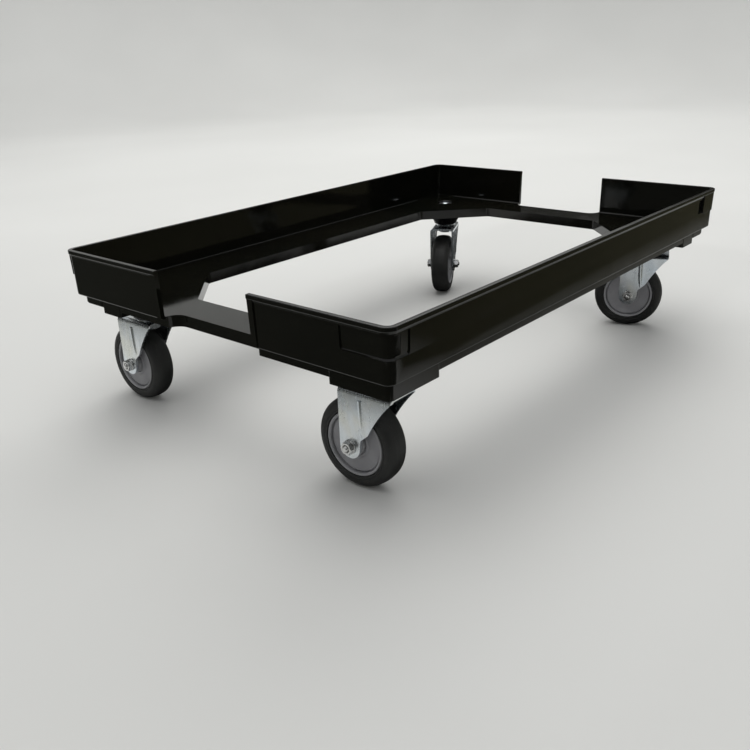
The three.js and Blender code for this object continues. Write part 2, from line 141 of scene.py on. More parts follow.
def block(name, low, high):
    (x0, y0, z0), (x1, y1, z1) = low, high
    return prism(name, [(x0, y0), (x1, y0), (x1, y1), (x0, y1)], z0, z1)


def turned(name, profile, segments=64, axis="Z"):
    """Solid of revolution of a closed profile of (radius, height); radius 0 is on the axis."""
    bm = bmesh.new()
    columns = []
    for i in range(segments):
        angle = 2 * math.pi * i / segments
        column = []
        for radius, height in profile:
            if axis == "Z":
                place = (radius * math.cos(angle), radius * math.sin(angle), height)
            else:
                place = (radius * math.cos(angle), height, radius * math.sin(angle))
            column.append(bm.verts.new(place))
        columns.append(column)
    count = len(profile)
    for i in range(segments):
        here, there = columns[i], columns[(i + 1) % segments]
        for j in range(count):
            k = (j + 1) % count
            if profile[j][0] > 0 or profile[k][0] > 0:
                bm.faces.new((here[j], there[j], there[k], here[k]))
    bmesh.ops.remove_doubles(bm, verts=bm.verts, dist=1e-5)
    bmesh.ops.dissolve_degenerate(bm, edges=bm.edges, dist=1e-6)
    return new_object(name, bm)


def arc(centre, radius, start, end, steps):
    """Points on an arc, angles in degrees."""
    points = []
    for i in range(steps + 1):
        angle = math.radians(start + (end - start) * i / steps)
        points.append((centre[0] + radius * math.cos(angle), centre[1] + radius * math.sin(angle)))
    return points


def rounded(corners, steps=4):
    """Closed outline through corners of (x, y, radius), each rounded by its radius."""
    points = []
    for i, (x, y, radius) in enumerate(corners):
        corner = Vector((x, y))
        to_last = (Vector(corners[i - 1][:2]) - corner).normalized()
        to_next = (Vector(corners[(i + 1) % len(corners)][:2]) - corner).normalized()
        if radius <= 0:
            points.append((x, y))
            continue
        half = to_last.angle(to_next) / 2
        centre = corner + (to_last + to_next).normalized() * radius / math.sin(half)
        first = corner + to_last * radius / math.tan(half) - centre
        last = corner + to_next * radius / math.tan(half) - centre
        turn = first.angle_signed(last)
        for step in range(steps + 1):
            spoke = first.copy()
            spoke.rotate(Matrix.Rotation(-turn * step / steps, 2))
            points.append(tuple(centre + spoke))
    return points


def apply_modifiers(obj):
    bpy.context.view_layer.update()
    graph = bpy.context.evaluated_depsgraph_get()
    mesh = bpy.data.meshes.new_from_object(obj.evaluated_get(graph))
    obj.modifiers.clear()
    obj.data = mesh
    return obj


def boolean(target, tool, operation):
    """Applies a boolean to target and removes the tool."""
    modifier = target.modifiers.new("boolean", "BOOLEAN")
    modifier.operation = operation
    modifier.solver = "MANIFOLD"
    modifier.object = tool
    apply_modifiers(target)
    bpy.data.objects.remove(tool)
    return target


def unite(target, *tools):
    for tool in tools:
        boolean(target, tool, "UNION")
    return target


def cut(target, *tools):
    for tool in tools:
        boolean(target, tool, "DIFFERENCE")
    return target


def common(target, tool):
    return boolean(target, tool, "INTERSECT")


def copy_of(obj):
    copy = obj.copy()
    copy.data = obj.data.copy()
    bpy.context.scene.collection.objects.link(copy)
    return copy


def mirrored(obj, axis):
    """Mirror image of obj across the plane normal to axis."""
    copy = copy_of(obj)
    scale = [1, 1, 1]
    scale[axis] = -1
    copy.data.transform(Matrix.Diagonal((*scale, 1)))
    copy.data.flip_normals()
    return copy


def on_both_ends(obj):
    return [obj, mirrored(obj, 0)]


def on_four_corners(obj):
    other = mirrored(obj, 0)
    return [obj, other, mirrored(obj, 1), mirrored(other, 1)]


def on_recessed_corners(obj):
    """The +X +Y corner and the one opposite it."""
    halfway = mirrored(obj, 0)
    opposite = mirrored(halfway, 1)
    bpy.data.objects.remove(halfway)
    return [obj, opposite]


def on_raised_corners(obj):
    """The other two corners, from a piece drawn for the +X +Y corner."""
    pair = [mirrored(obj, 0), mirrored(obj, 1)]
    bpy.data.objects.remove(obj)
    return pair


def soften(obj, width, angle=35, segments=2):
    """Small round on every sharp edge, applied at once."""
    modifier = obj.modifiers.new("bevel", "BEVEL")
    modifier.width = width
    modifier.segments = segments
    modifier.limit_method = "ANGLE"
    modifier.angle_limit = math.radians(angle)
    modifier.use_clamp_overlap = True
    modifier.miter_outer = "MITER_ARC"
    return apply_modifiers(obj)


def flatten_normals(obj):
    """Shading normals weighed by area, so small rounds don't bend the light on large flats."""
    modifier = obj.modifiers.new("normals", "WEIGHTED_NORMAL")
    modifier.mode = "FACE_AREA"
    modifier.keep_sharp = True
    return apply_modifiers(obj)


def settle(obj, name, place, body, nodes, material, smooth=32):
    """Puts a finished piece in the frame: metres, material, body and the nodes it stands for."""
    obj.name = name
    obj.data.transform(place @ Matrix.Scale(MM, 4) if place else Matrix.Scale(MM, 4))
    obj.data.polygons.foreach_set("use_smooth", [True] * len(obj.data.polygons))
    obj.data.set_sharp_from_angle(angle=math.radians(smooth))
    flatten_normals(obj)
    obj.data.name = name
    obj.data.materials.clear()
    obj.data.materials.append(material)
    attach(obj, body)
    if nodes:
        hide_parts(*nodes)
    return obj


# ------------------------------------------------------------------ materials


class Nodes:
    """Small helper to write a material's node tree in few lines."""

    def __init__(self, name):
        self.material = bpy.data.materials.new(name)
        self.material.use_nodes = True
        self.tree = self.material.node_tree
        self.shader = self.tree.nodes["Principled BSDF"]
        self.place = self.add("ShaderNodeTexCoord").outputs["Object"]

    def add(self, kind, **values):
        node = self.tree.nodes.new(kind)
        for key, value in values.items():
            setattr(node, key, value)
        return node

    def link(self, start, end):
        self.tree.links.new(start, end)

    def set(self, **values):
        for key, value in values.items():
            self.shader.inputs[key.replace("_", " ")].default_value = value

    def stretched(self, scale):
        mapping = self.add("ShaderNodeMapping")
        mapping.inputs["Scale"].default_value = scale
        self.link(self.place, mapping.inputs["Vector"])
        return mapping.outputs["Vector"]

    def noise(self, scale, detail=4, roughness=0.5, place=None, distortion=0):
        node = self.add("ShaderNodeTexNoise")
        node.inputs["Scale"].default_value = scale
        node.inputs["Detail"].default_value = detail
        node.inputs["Roughness"].default_value = roughness
        node.inputs["Distortion"].default_value = distortion
        self.link(place or self.place, node.inputs["Vector"])
        return node.outputs["Fac"]

    def cells(self, scale):
        node = self.add("ShaderNodeTexVoronoi", feature="F1")
        node.inputs["Scale"].default_value = scale
        self.link(self.place, node.inputs["Vector"])
        return node.outputs["Distance"]

    def spread(self, value, low, high, to_low, to_high):
        node = self.add("ShaderNodeMapRange", clamp=True)
        for i, number in enumerate((low, high, to_low, to_high)):
            node.inputs[i + 1].default_value = number
        self.link(value, node.inputs[0])
        return node.outputs[0]

    def ramp(self, value, stops):
        node = self.add("ShaderNodeValToRGB")
        elements = node.color_ramp.elements
        while len(elements) < len(stops):
            elements.new(0.5)
        for element, (position, colour) in zip(elements, stops):
            element.position = position
            element.color = (*colour, 1)
        self.link(value, node.inputs["Fac"])
        return node.outputs["Color"]

    def math(self, operation, a, b):
        node = self.add("ShaderNodeMath", operation=operation)
        for i, value in enumerate((a, b)):
            if isinstance(value, (int, float)):
                node.inputs[i].default_value = value
            else:
                self.link(value, node.inputs[i])
        return node.outputs[0]

    def mix(self, factor, first, second):
        node = self.add("ShaderNodeMix", data_type="RGBA")
        self.link(factor, node.inputs["Factor"])
        for socket, value in (("A", first), ("B", second)):
            target = [s for s in node.inputs if s.name == socket and s.type == "RGBA"][0]
            if isinstance(value, tuple):
                target.default_value = (*value, 1)
            else:
                self.link(value, target)
        return [s for s in node.outputs if s.type == "RGBA"][0]

    def colour(self, value):
        self.link(value, self.shader.inputs["Base Color"])

    def roughness(self, value):
        self.link(value, self.shader.inputs["Roughness"])

    def bump(self, *layers):
        """Stacks bump layers of (height, strength, distance)."""
        normal = None
        for height, strength, distance in layers:
            node = self.add("ShaderNodeBump")
            node.inputs["Strength"].default_value = strength
            node.inputs["Distance"].default_value = distance
            self.link(height, node.inputs["Height"])
            if normal is not None:
                self.link(normal, node.inputs["Normal"])
            normal = node.outputs["Normal"]
        self.link(normal, self.shader.inputs["Normal"])


def gloss_plastic():
    n = Nodes("gloss_black_plastic")
    flow = n.noise(7, detail=3, roughness=0.45, distortion=0.6)
    haze = n.noise(38, detail=6, roughness=0.6)
    grain = n.noise(900, detail=2)
    dust = n.spread(n.noise(420, detail=5, roughness=0.75), 0.6, 0.74, 0, 1)
    patches = n.spread(n.noise(14, detail=4), 0.45, 0.7, 0, 1)
    dusty = n.math("MULTIPLY", dust, patches)
    body = n.ramp(flow, [(0.3, (0.0026, 0.0030, 0.0022)), (0.7, (0.0052, 0.0050, 0.0034))])
    n.colour(n.mix(n.math("MULTIPLY", dusty, 0.12), body, (0.10, 0.098, 0.088)))
    gloss = n.spread(haze, 0.3, 0.75, 0.05, 0.11)
    lines = n.noise(60, detail=8, roughness=0.7, place=n.stretched((0.12, 1, 1)))
    scuffs = n.spread(lines, 0.58, 0.72, 0, 0.07)
    n.roughness(n.math("ADD", n.math("ADD", gloss, scuffs), n.math("MULTIPLY", dusty, 0.2)))
    n.bump((flow, 0.12, 0.004), (haze, 0.05, 0.0006), (grain, 0.03, 0.0001))
    n.set(Specular_IOR_Level=0.42, IOR=1.5)
    return n.material


def zinc_plate():
    n = Nodes("zinc_plated_steel")
    sheen = n.noise(26, detail=3, roughness=0.5, distortion=0.8)
    cloud = n.noise(90, detail=5, roughness=0.6)
    streaks = n.noise(260, detail=5, roughness=0.65, place=n.stretched((1, 1, 0.06)))
    spangle = n.cells(700)
    tint = n.ramp(sheen, [
        (0.3, (0.72, 0.80, 0.88)),
        (0.55, (0.80, 0.84, 0.87)),
        (0.78, (0.82, 0.82, 0.74)),
    ])
    n.colour(n.mix(n.spread(cloud, 0.45, 0.75, 0, 0.14), tint, (0.60, 0.64, 0.67)))
    base = n.spread(cloud, 0.3, 0.75, 0.2, 0.29)
    n.roughness(n.math("ADD", base, n.spread(streaks, 0.4, 0.7, -0.02, 0.05)))
    n.bump((streaks, 0.008, 0.0002), (cloud, 0.008, 0.0003), (spangle, 0.01, 0.0001))
    n.set(Metallic=1.0)
    return n.material


def bright_steel():
    n = Nodes("bright_steel")
    cloud = n.noise(240, detail=5, roughness=0.6)
    lines = n.noise(600, detail=4, place=n.stretched((1, 1, 0.15)))
    n.colour(n.ramp(cloud, [(0.3, (0.7, 0.7, 0.7)), (0.75, (0.78, 0.78, 0.77))]))
    n.roughness(n.spread(lines, 0.3, 0.7, 0.16, 0.34))
    n.bump((lines, 0.01, 0.0001), (cloud, 0.01, 0.0002))
    n.set(Metallic=1.0)
    return n.material


def black_steel():
    n = Nodes("black_phosphated_steel")
    cloud = n.noise(300, detail=5, roughness=0.65)
    n.colour(n.ramp(cloud, [(0.3, (0.012, 0.012, 0.013)), (0.75, (0.05, 0.05, 0.052))]))
    n.roughness(n.spread(cloud, 0.3, 0.7, 0.32, 0.55))
    n.bump((cloud, 0.2, 0.0002))
    n.set(Metallic=0.85)
    return n.material


def tyre_rubber():
    n = Nodes("grey_tyre_rubber")
    cloud = n.noise(45, detail=5, roughness=0.6)
    grain = n.noise(1300, detail=3)
    specks = n.spread(n.noise(800, detail=3, roughness=0.7), 0.62, 0.72, 0, 1)
    worn = n.spread(n.noise(30, detail=6, roughness=0.65, distortion=0.5), 0.45, 0.75, 0, 1)
    body = n.ramp(cloud, [(0.3, (0.011, 0.0116, 0.0112)), (0.72, (0.019, 0.0195, 0.0182))])
    dusted = n.mix(n.math("MULTIPLY", worn, 0.12), body, (0.10, 0.098, 0.09))
    n.colour(n.mix(n.math("MULTIPLY", specks, 0.3), dusted, (0.2, 0.19, 0.17)))
    n.roughness(n.spread(cloud, 0.3, 0.75, 0.46, 0.66))
    n.bump((grain, 0.18, 0.0002), (cloud, 0.1, 0.0005))
    n.set(Specular_IOR_Level=0.45)
    return n.material


def satin_grey(name, dark, light, rough_low, rough_high):
    n = Nodes(name)
    cloud = n.noise(70, detail=4, roughness=0.55)
    grain = n.noise(1500, detail=3)
    rings = n.noise(24, detail=3, distortion=1.2)
    smudge = n.spread(n.noise(110, detail=6, roughness=0.7), 0.56, 0.75, 0, 0.35)
    body = n.ramp(rings, [(0.3, dark), (0.7, light)])
    n.colour(n.mix(smudge, body, tuple(value * 0.72 for value in dark)))
    n.roughness(n.spread(cloud, 0.3, 0.7, rough_low, rough_high))
    n.bump((grain, 0.12, 0.0001), (cloud, 0.06, 0.0004))
    return n.material


def studio_floor():
    n = Nodes("studio_paper")
    fibre = n.noise(500, detail=6, roughness=0.7)
    wide = n.noise(1.3, detail=2)
    n.colour(n.ramp(wide, [(0.3, (0.65, 0.65, 0.635)), (0.7, (0.69, 0.69, 0.675))]))
    n.roughness(n.spread(fibre, 0.3, 0.7, 0.62, 0.75))
    n.bump((fibre, 0.08, 0.0003))
    n.set(Specular_IOR_Level=0.3)
    return n.material


PLASTIC = gloss_plastic()
ZINC = zinc_plate()
STEEL = bright_steel()
BLACK_STEEL = black_steel()
RUBBER = tyre_rubber()
HUB_GREY = satin_grey("hub_grey_plastic", (0.25, 0.25, 0.262), (0.33, 0.33, 0.345), 0.34, 0.5)
COVER_GREY = satin_grey("cover_grey_plastic", (0.215, 0.213, 0.228), (0.29, 0.288, 0.305), 0.3, 0.46)

# ------------------------------------------------------------------ tray


def tray_ring(offset, z, radius=None, steps=12):
    """Rounded rectangle, grown by offset from the rim's outer edge."""
    radius = CORNER_RADIUS + offset if radius is None else radius
    centre_x = LENGTH / 2 + offset - radius
    centre_y = WIDTH / 2 + offset - radius
    ring = []
    for quarter, (side_x, side_y) in enumerate(((1, 1), (-1, 1), (-1, -1), (1, -1))):
        centre = (side_x * centre_x, side_y * centre_y)
        points = arc(centre, radius, quarter * 90, quarter * 90 + 90, steps)
        ring.extend((x, y, z) for x, y in points)
    return ring


def tray_loft(name, profile, radius=None):
    return loft(name, [tray_ring(offset, z, radius) for offset, z in profile])


def wall_profile():
    """Outside of the wall from its filleted foot to the round of the rim bead."""
    foot = arc((-4.4, 1.6), 1.6, -90, -5, 5)
    foot = [(offset + 0.2, z) for offset, z in foot]
    lip_low = [(-1.95, 38.6), (-1.85, 39.2), (-1.2, 39.5), (-1.05, 39.9), (-1.0, 40.6)]
    bead_low = arc((-0.9, 41.9), 0.9, -80, 0, 4)
    bead_high = arc((-0.9, 44.1), 0.9, 0, 88, 5)
    return foot + lip_low + bead_low + bead_high


def tray_shell():
    shell = tray_loft("tray_shell", wall_profile())
    low = -3 - WALL_THICKNESS
    high = -1.8 - WALL_THICKNESS
    inside = [
        (low - 1.2, DECK_TOP),
        (low - 0.5, DECK_TOP + 0.25),
        (low - 0.05, DECK_TOP + 1.1),
        (high, WALL_HEIGHT - 0.8),
        (high + 0.25, WALL_HEIGHT - 0.2),
        (high + 0.9, WALL_HEIGHT + 0.4),
    ]
    return cut(shell, tray_loft("inside", inside))


def opening_outline(grow):
    x = LENGTH / 2 - BRIDGE_INNER + grow
    y = WIDTH / 2 - LEDGE_INNER + grow
    chamfer = OPENING_CHAMFER + grow * 0.6
    corners = []
    for side_x, side_y in ((1, 1), (-1, 1), (-1, -1), (1, -1)):
        pair = [
            (side_x * x, side_y * (y - chamfer), OPENING_RADIUS),
            (side_x * (x - chamfer), side_y * y, OPENING_RADIUS),
        ]
        corners.extend(pair if side_x * side_y > 0 else reversed(pair))
    return rounded(corners, steps=6)


def gap_outline(grow):
    inner = LENGTH / 2 - GAP_DEPTH - grow
    outer = LENGTH / 2 + 20
    y = GAP_WIDTH / 2 + grow
    radius = GAP_RADIUS + grow
    return rounded([(outer, -y, 0), (outer, y, 0), (inner, y, radius), (inner, -y, radius)], steps=10)


def skirts():
    inset = SKIRT_INSET + SKIRT_THICKNESS
    walls = [(-SKIRT_INSET, -SKIRT_DEPTH), (-SKIRT_INSET, DECK_MIDDLE)]
    slab = tray_loft("skirt", walls, 6)
    trim = tray_loft("trim", walls, 6)
    cut(slab, tray_loft("hollow", [(-inset, -SKIRT_DEPTH - 1), (-inset, DECK_UNDER)], 3))
    opening = prism("lip", opening_outline(SKIRT_THICKNESS), -SKIRT_DEPTH, DECK_MIDDLE)
    gaps = on_both_ends(prism("gap_lip", gap_outline(SKIRT_THICKNESS), -SKIRT_DEPTH, DECK_MIDDLE))
    gap_lips = common(unite(*gaps), trim)
    return unite(slab, opening, gap_lips)


def corner_block():
    edge_x, edge_y = LENGTH / 2, WIDTH / 2
    outline = rounded([
        (edge_x - BLOCK_INSET, edge_y - BLOCK_INSET, 5),
        (edge_x - PAD_OUTER, edge_y - BLOCK_INSET, 1.5),
        (edge_x - PAD_OUTER, edge_y - PAD_OUTER, 6),
        (edge_x - BLOCK_INSET, edge_y - PAD_OUTER, 1.5),
    ])
    return prism("corner_block", outline, -PAD_DEPTH, DECK_MIDDLE)


def notched_corner_block():
    """The same block with a shallow outer corner, parted from the rest by a slot in each face."""
    edge_x, edge_y = LENGTH / 2, WIDTH / 2
    corner_x = edge_x - SHALLOW_CORNER
    corner_y = edge_y - SHALLOW_CORNER
    depth = 7
    under = -PAD_DEPTH - 1
    lift = block("lift", (corner_x, corner_y, under), (edge_x, edge_y, -SHALLOW_DEPTH))
    slot_x = block(
        "slot_x",
        (corner_x - BLOCK_SLOT, edge_y - SKIRT_INSET - depth, under),
        (corner_x, edge_y, DECK_UNDER),
    )
    slot_y = block(
        "slot_y",
        (edge_x - SKIRT_INSET - depth, corner_y - BLOCK_SLOT, under),
        (edge_x, corner_y, DECK_UNDER),
    )
    return cut(corner_block(), lift, slot_x, slot_y)


PANEL_LOW = 20
PANEL_HIGH = 38
RECESS_SHORT_SIDE = 49
RECESS_LONG_SIDE = 25
RAISED_WRAP = 4
RAISED_LONG_SIDE = 37


def panel_window(edge, length, high, low=PANEL_LOW):
    """Outline from a length along the edge to beyond the corner, with a rounded lower corner."""
    return rounded([
        (edge - length, high, 0.5),
        (edge - length, low, 4),
        (edge + 9, low, 0),
        (edge + 9, high, 0),
    ], steps=8)


def corner_recess():
    """Shallow recess that wraps the corner below the rim."""
    edge_x, edge_y = LENGTH / 2, WIDTH / 2
    core = tray_loft("core", [
        (-2, PANEL_LOW - 2),
        (-2.45, PANEL_LOW - 0.6),
        (-3.5, PANEL_LOW + 0.7),
        (-2.9, PANEL_HIGH + 4),
    ])
    short_side = panel_window(edge_y, RECESS_SHORT_SIDE, PANEL_HIGH, PANEL_LOW - 1.2)
    long_side = panel_window(edge_x, RECESS_LONG_SIDE, PANEL_HIGH, PANEL_LOW - 1.2)
    window = unite(
        prism("short_side", short_side, edge_x - 11, edge_x + 1, "YZ"),
        prism("long_side", long_side, edge_y - 11, edge_y + 1, "XZ"),
    )
    return cut(window, core)


def raised_panel():
    """Raised panel on the long face, just turning the corner."""
    edge_y = WIDTH / 2
    skin = tray_loft("panel", [(-1.45, PANEL_LOW - 0.1), (-1.15, PANEL_LOW + 0.25), (-0.5, 41)])
    cut(skin, tray_loft("panel_inside", [(-4, PANEL_LOW - 1), (-3, 42)]))
    window = panel_window(LENGTH / 2, RAISED_LONG_SIDE, 60)
    return common(skin, prism("window", window, edge_y - RAISED_WRAP, edge_y + 1, "XZ"))


# upright slots: start and end measured from the corner, floor depth from the rim's outer edge
SLOT_LOW = 21.5
SLOT_HIGH = 36.8
RECESS_SLOT = {"start": 8.5, "end": 16, "floor": 4.1, "slant": 0.16}
PANEL_SLOT = {"start": 38, "end": 49, "floor": 4}


def face_slot(start, end, floor, slant=0):
    """Upright slot in the long face; slant is the slope of its floor along the face."""
    edge_x, edge_y = LENGTH / 2, WIDTH / 2
    outline = rounded([
        (edge_x - end, SLOT_LOW, 1),
        (edge_x - start, SLOT_LOW, 1),
        (edge_x - start, SLOT_HIGH, 1),
        (edge_x - end, SLOT_HIGH, 1),
    ])
    middle = edge_x - (start + end) / 2
    bottom = [(x, edge_y - floor - slant * (x - middle), z) for x, z in outline]
    return loft("face_slot", [bottom, [(x, edge_y + 5, z) for x, z in outline]])


def wall_end_bead():
    outer = LENGTH / 2
    profile = [
        (outer - 4.2, 1),
        (outer - 1.9, 1),
        (outer - 0.6, 40),
        (outer - 0.4, WALL_HEIGHT - 0.5),
        (outer - 4.2, WALL_HEIGHT - 0.5),
    ]
    return prism("wall_end", profile, GAP_WIDTH / 2, GAP_WIDTH / 2 + 6, "XZ")


NUT_RECESS_FLOOR = -6.6
NUT_RECESS_RADIUS = 11.5
BOLT_HOLE_RADIUS = 5.3


def caster_hole():
    recess = turned("recess", [
        (0, NUT_RECESS_FLOOR),
        (NUT_RECESS_RADIUS - 0.2, NUT_RECESS_FLOOR),
        (NUT_RECESS_RADIUS, DECK_TOP - 0.7),
        (NUT_RECESS_RADIUS + 0.7, DECK_TOP + 0.1),
        (NUT_RECESS_RADIUS + 0.7, DECK_TOP + 1),
        (0, DECK_TOP + 1),
    ], 48)
    hole = turned("hole", [
        (0, -PAD_DEPTH - 1),
        (BOLT_HOLE_RADIUS, -PAD_DEPTH - 1),
        (BOLT_HOLE_RADIUS, NUT_RECESS_FLOOR + 1),
        (0, NUT_RECESS_FLOOR + 1),
    ], 48)
    both = unite(recess, hole)
    shift = (LENGTH / 2 - SWIVEL_INSET, WIDTH / 2 - SWIVEL_INSET, 0)
    both.data.transform(Matrix.Translation(shift))
    return both


def tray():
    body = cut(tray_shell(), *on_recessed_corners(corner_recess()))
    cut(body, *on_recessed_corners(face_slot(**RECESS_SLOT)))
    unite(body, *on_raised_corners(raised_panel()))
    cut(body, *on_raised_corners(face_slot(**PANEL_SLOT)))
    unite(body, skirts(), *on_recessed_corners(corner_block()))
    unite(body, *on_raised_corners(notched_corner_block()))
    cut(body, prism("opening", opening_outline(0), -SKIRT_DEPTH - 1, DECK_TOP + 1))
    cut(body, *on_both_ends(prism("gap", gap_outline(0), -SKIRT_DEPTH - 1, WALL_HEIGHT + 1)))
    unite(body, *on_four_corners(wall_end_bead()))
    cut(body, *on_four_corners(caster_hole()))
    soften(body, 0.45, angle=50)
    place = Matrix.Translation((0, TRAY_CENTRE_Y * MM, WALL_BOTTOM * MM))
    return settle(body, "tray_moulding", place, "tray", ["tray"], PLASTIC)


# ------------------------------------------------------------------ caster pieces, swivel axis along Z

PIN_RADIUS = 8
BOLT_RADIUS = 5
M10_ACROSS_FLATS = 17
RACE_HEIGHT = 4.8
BALL_CIRCLE = 10.6
FLANGE_TOP = CROWN_UNDER - GAP
FLANGE_UNDER = FLANGE_TOP - 2.4
NUT_SEAT = WALL_BOTTOM + NUT_RECESS_FLOOR + GAP
BOLT_END = WALL_BOTTOM + DECK_TOP - 0.2


def head_cup():
    """Black housing that narrows from the pad down over the ball race."""
    under = RACE_TOP + RACE_HEIGHT
    return turned("head_cup", rounded([
        (PIN_RADIUS + GAP, under, 0.2),
        (13.6, under, 0.8),
        (13.6, RACE_TOP - 0.6, 0.2),
        (15.6, RACE_TOP - 0.6, 0.5),
        (16.4, RACE_TOP + 2.2, 0.8),
        (20.2, PAD_FACE - 3.2, 1.2),
        (21.2, PAD_FACE - GAP, 0.4),
        (PIN_RADIUS + GAP, PAD_FACE - GAP, 0.3),
    ]), 72)


def ball_ring():
    low = RACE_TOP + GAP
    high = RACE_TOP + RACE_HEIGHT - GAP
    middle = (low + high) / 2
    ring = turned("ball_ring", rounded([
        (9.2, low, 0.3),
        (11.4, low, 0.3),
        (11.4, high, 0.3),
        (9.2, high, 0.3),
    ]), 64)
    radius = (high - low) / 2 - 0.02
    steps = [math.radians(-90 + 15 * step) for step in range(13)]
    profile = [(max(0, radius * math.cos(t)), radius * math.sin(t)) for t in steps]
    profile[0] = (0, -radius)
    profile[-1] = (0, radius)
    balls = []
    for i in range(12):
        angle = 2 * math.pi * i / 12
        ball = turned("ball", profile, 24)
        place = (BALL_CIRCLE * math.cos(angle), BALL_CIRCLE * math.sin(angle), middle)
        ball.data.transform(Matrix.Translation(place))
        balls.append(ball)
    return unite(ring, *balls)


def kingpin():
    return turned("kingpin", rounded([
        (BOLT_HOLE_RADIUS, FLANGE_UNDER, 0.3),
        (12, FLANGE_UNDER, 0.9),
        (12, FLANGE_TOP, 0.3),
        (PIN_RADIUS, FLANGE_TOP, 0.3),
        (PIN_RADIUS, PAD_FACE - GAP, 0.2),
        (BOLT_HOLE_RADIUS, PAD_FACE - GAP, 0.2),
    ]), 64)


def hexagon(across_flats):
    radius = across_flats / math.sqrt(3)
    angles = [math.radians(60 * i) for i in range(6)]
    return [(radius * math.cos(angle), radius * math.sin(angle)) for angle in angles]


def chamfer_tool(across_flats, low, high, axis):
    """Turned blank whose shoulders cut a hexagon's corners."""
    wide = across_flats / math.sqrt(3) + 0.2
    narrow = across_flats / 2 - 0.1
    drop = (wide - narrow) * 0.55
    profile = [
        (0, low), (narrow, low), (wide, low + drop),
        (wide, high - drop), (narrow, high), (0, high),
    ]
    return turned("chamfer", profile, 48, axis)


def hex_head(across_flats, low, high, axis="Z"):
    plane = "XY" if axis == "Z" else "XZ"
    head = prism("hex", hexagon(across_flats), low, high, plane)
    return common(head, chamfer_tool(across_flats, low, high, axis))


def thread(radius, low, high, pitch, axis="Z"):
    """Ringed rod that reads as a cut thread."""
    turns = int((high - low - 1.2) / pitch)
    profile = [(0, low), (radius - 0.3, low)]
    for i in range(turns):
        profile.append((radius - 0.32, low + i * pitch + 0.02))
        profile.append((radius, low + i * pitch + pitch / 2))
    core = radius - 0.3
    profile += [(core, low + turns * pitch), (core, high - 0.7), (radius - 1.1, high), (0, high)]
    return turned("thread", profile, 40, axis)


def king_bolt():
    head_top = FLANGE_UNDER - GAP
    head = hex_head(M10_ACROSS_FLATS, head_top - 4.8, head_top)
    shank = thread(BOLT_RADIUS, head_top - 1, BOLT_END, 1.25)
    bolt = unite(head, shank)
    socket = turned("socket", [
        (0, BOLT_END - 6), (2.6, BOLT_END - 4.5), (3.1, BOLT_END - 0.4),
        (3.5, BOLT_END + 0.3), (0, BOLT_END + 0.3),
    ], 32)
    return soften(cut(bolt, socket), 0.15, angle=40)


def deck_nut():
    top = WALL_BOTTOM + DECK_TOP - 1.2
    nut = hex_head(M10_ACROSS_FLATS, NUT_SEAT, top)
    hole = turned("bore", [
        (0, NUT_SEAT - 1), (BOLT_HOLE_RADIUS + 0.5, NUT_SEAT - 1), (BOLT_HOLE_RADIUS, NUT_SEAT + 0.6),
        (BOLT_HOLE_RADIUS, top - 0.6), (BOLT_HOLE_RADIUS + 0.6, top + 0.1), (0, top + 0.1),
    ], 40)
    return soften(cut(nut, hole), 0.2, angle=40)


# ------------------------------------------------------------------ fork

LEG_HALF_WIDTH = 10.3
CROWN_LEAD = 20
BEND_RADIUS = 4.5
AXLE_RADIUS = 3


def bezier(start, control, end, steps=12):
    points = []
    for i in range(steps + 1):
        t = i / steps
        points.append(tuple(
            (1 - t) ** 2 * a + 2 * t * (1 - t) * b + t ** 2 * c for a, b, c in zip(start, control, end)
        ))
    return points


def fork_outline(top=CROWN_TOP + 5):
    """Side outline: crown, slanting gusset edge and round-ended leg."""
    axle = WHEEL_RADIUS
    rear = TRAIL + LEG_HALF_WIDTH
    front = TRAIL - LEG_HALF_WIDTH
    gusset = bezier(
        (-CROWN_LEAD, CROWN_UNDER - 1),
        (-CROWN_LEAD + 14, CROWN_UNDER - 15),
        (front - 9, axle + 15),
    )
    foot = arc((TRAIL, axle), LEG_HALF_WIDTH, 180, 360, 20)
    return [(rear, top), (-CROWN_LEAD, top), *gusset, (front - 1, axle + 8), *foot]


def folded_section(half_width, height, radius, low):
    return rounded([
        (half_width, low, 0),
        (half_width, height, radius),
        (-half_width, height, radius),
        (-half_width, low, 0),
    ], steps=8)


def rib(side):
    """Pressed bead down the front of a leg, tapering out at its foot."""
    face = side * (LEG_OUTSIDE - 0.6)
    crest = side * (LEG_OUTSIDE + 1.1)
    front = TRAIL - LEG_HALF_WIDTH
    path = [
        (front - 2.0, CROWN_UNDER - 5.5, 2.6),
        (front - 2.2, CROWN_UNDER - 14, 2.7),
        (front - 2.6, WHEEL_RADIUS + 24, 2.6),
        (front - 3.2, WHEEL_RADIUS + 16, 2.0),
        (front - 3.6, WHEEL_RADIUS + 11.5, 1.0),
    ]
    rings = []
    for x, z, half in path:
        section = [
            (-half, 0), (-half * 0.8, 0.55), (-half * 0.4, 0.93), (0, 1),
            (half * 0.4, 0.93), (half * 0.8, 0.55), (half, 0), (half, -0.4), (-half, -0.4),
        ]
        rise = crest - face
        rings.append([(x + a, face + rise * b * min(1, half / 2.2), z) for a, b in section])
    return loft("rib", rings[::-1])


